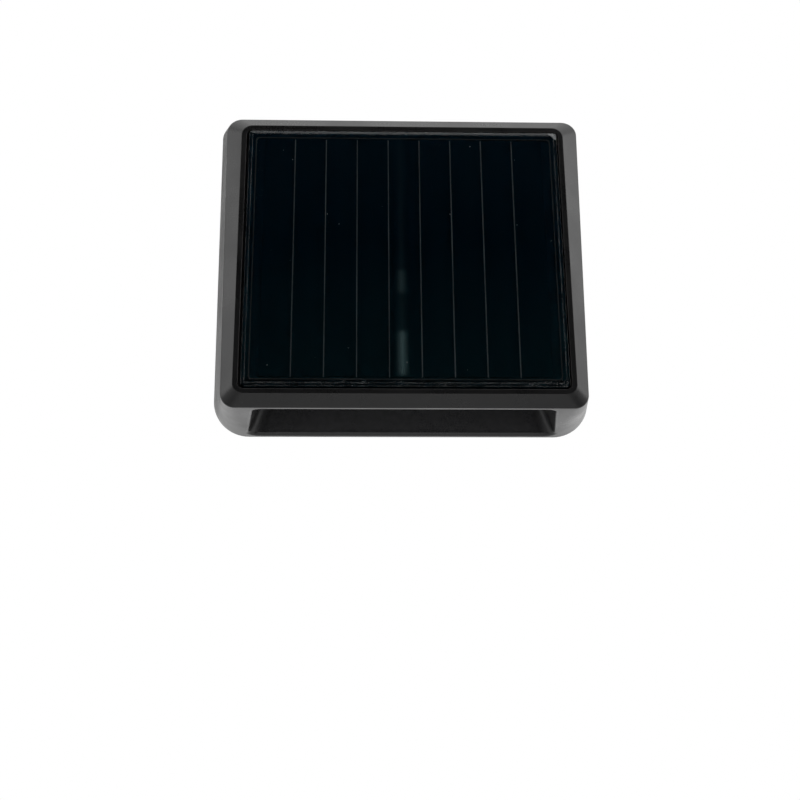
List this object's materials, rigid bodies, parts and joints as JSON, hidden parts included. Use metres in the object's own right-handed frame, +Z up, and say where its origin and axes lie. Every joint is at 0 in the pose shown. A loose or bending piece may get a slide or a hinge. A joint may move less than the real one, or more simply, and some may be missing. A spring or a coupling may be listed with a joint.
{
  "type": "solar wall light",
  "caption": "Black wedge-shaped solar wall light with a framed solar panel on its tilted front, a light scoop in its underside and a keyhole-mounted back.",
  "frame": {"origin": "middle of the flat back, on the wall", "axes": "+X right seen from the front, +Y into the wall, +Z up"},
  "size_m": [0.1104, 0.0339, 0.1012],
  "materials": {
    "housing_plastic": "satin black moulding with a fine spark texture",
    "cover_plastic": "black moulding, slightly coarser texture",
    "panel_clear": "clear glossy front sheet with a ground edge",
    "cell_silicon": "near-black blue cells under the clear sheet",
    "cell_metal": "thin tinned ribbons",
    "panel_backing": "black backing board",
    "foam_tape": "black adhesive foam",
    "silicone": "grey soft seal",
    "screw_steel": "zinc-plated steel",
    "lens_clear": "lightly frosted clear plastic",
    "lamp_board_metal": "white coated metal-core board",
    "led_warm": "amber phosphor",
    "led_neutral": "yellow phosphor",
    "led_cool": "pale yellow phosphor",
    "circuit_board": "green solder mask",
    "chip_black": "black moulded package",
    "ferrite": "dark ferrite drum",
    "can_metal": "bright metal can",
    "socket_plastic": "ivory moulding",
    "switch_plastic": "black moulding",
    "button_plastic": "dark grey moulding",
    "battery_sleeve": "blue shrink sleeve over a metal can",
    "cradle_plastic": "black moulding",
    "contact_metal": "nickel-plated spring leaf",
    "lead_insulation": "soft insulated lead"
  },
  "bodies": {
    "lamp": {"front_housing": "housing_plastic", "rear_cover": "cover_plastic", "cover_seal": "silicone", "cover_screws": "screw_steel", "panel_tape": "foam_tape", "panel_board": "panel_backing", "solar_cells": "cell_silicon", "cell_ribbons": "cell_metal", "panel_glass": "panel_clear", "light_lens": "lens_clear", "lens_seal": "silicone", "lamp_board": "lamp_board_metal", "warm_led": "led_warm", "neutral_led": "led_neutral", "cool_led": "led_cool", "lamp_screws": "screw_steel", "control_board": "circuit_board", "control_screws": "screw_steel", "control_chip": "chip_black", "drive_coil": "ferrite", "capacitor": "can_metal", "lead_sockets": "socket_plastic", "switch_body": "switch_plastic", "button_seal": "silicone", "battery_cell": "battery_sleeve", "battery_cradle": "cradle_plastic", "cradle_screws": "screw_steel", "positive_contact": "contact_metal", "negative_contact": "contact_metal", "battery_leads": "lead_insulation", "lamp_leads": "lead_insulation", "panel_leads": "lead_insulation"},
    "button": {"mode_button": "button_plastic", "switch_stem": "switch_plastic"}
  },
  "joints": [
    {"name": "mode_button_press", "type": "slide", "parent": "lamp", "child": "button", "axis": [0, -1, 0], "range_m": [0, 0.0008], "stiffness_N_per_m": 2000}
  ]
}
